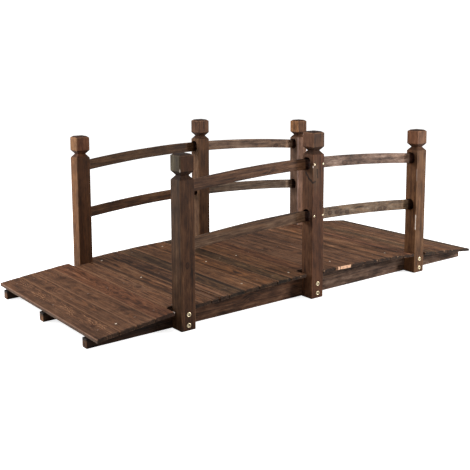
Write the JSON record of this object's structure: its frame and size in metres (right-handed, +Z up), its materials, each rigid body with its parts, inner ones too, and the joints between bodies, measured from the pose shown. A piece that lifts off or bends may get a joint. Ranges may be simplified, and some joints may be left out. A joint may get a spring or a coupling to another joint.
{
  "type": "garden moon bridge",
  "caption": "Small arched timber garden footbridge: plank deck on curved stringers, square posts with faceted knobs, and two bowed rails along each side.",
  "frame": {"origin": "on the level plane the stringers and posts stand on, midway along and across the bridge", "axes": "+X along the bridge from its left end to its right end, +Y across it from the front railing to the rear railing, +Z up"},
  "size_m": [1.514, 0.64, 0.5115],
  "materials": {
    "deck_wood": "dark brown stain, satin, worn lighter at edges",
    "stringer_wood": "dark brown stain, satin",
    "post_wood": "dark brown stain, satin",
    "rail_wood": "dark brown stain, satin",
    "fastener_metal": "yellow plated, slightly dull"
  },
  "bodies": {
    "root": {"deck_board_01": "deck_wood", "deck_board_02": "deck_wood", "deck_board_03": "deck_wood", "deck_board_04": "deck_wood", "deck_board_05": "deck_wood", "deck_board_06": "deck_wood", "deck_board_07": "deck_wood", "deck_board_08": "deck_wood", "deck_board_09": "deck_wood", "deck_board_10": "deck_wood", "deck_board_11": "deck_wood", "deck_board_12": "deck_wood", "deck_board_13": "deck_wood", "deck_board_14": "deck_wood", "deck_board_15": "deck_wood", "deck_board_16": "deck_wood", "deck_board_17": "deck_wood", "deck_board_18": "deck_wood", "deck_board_19": "deck_wood", "deck_board_20": "deck_wood", "deck_board_21": "deck_wood", "deck_board_22": "deck_wood", "deck_board_23": "deck_wood", "deck_board_24": "deck_wood", "deck_board_25": "deck_wood", "front_left_lower_rail": "rail_wood", "front_left_post": "post_wood", "front_left_upper_rail": "rail_wood", "front_middle_post": "post_wood", "front_right_lower_rail": "rail_wood", "front_right_post": "post_wood", "front_right_upper_rail": "rail_wood", "front_stringer": "stringer_wood", "middle_stringer": "stringer_wood", "rear_left_lower_rail": "rail_wood", "rear_left_post": "post_wood", "rear_left_upper_rail": "rail_wood", "rear_middle_post": "post_wood", "rear_right_lower_rail": "rail_wood", "rear_right_post": "post_wood", "rear_right_upper_rail": "rail_wood", "rear_stringer": "stringer_wood"}
  },
  "joints": []
}
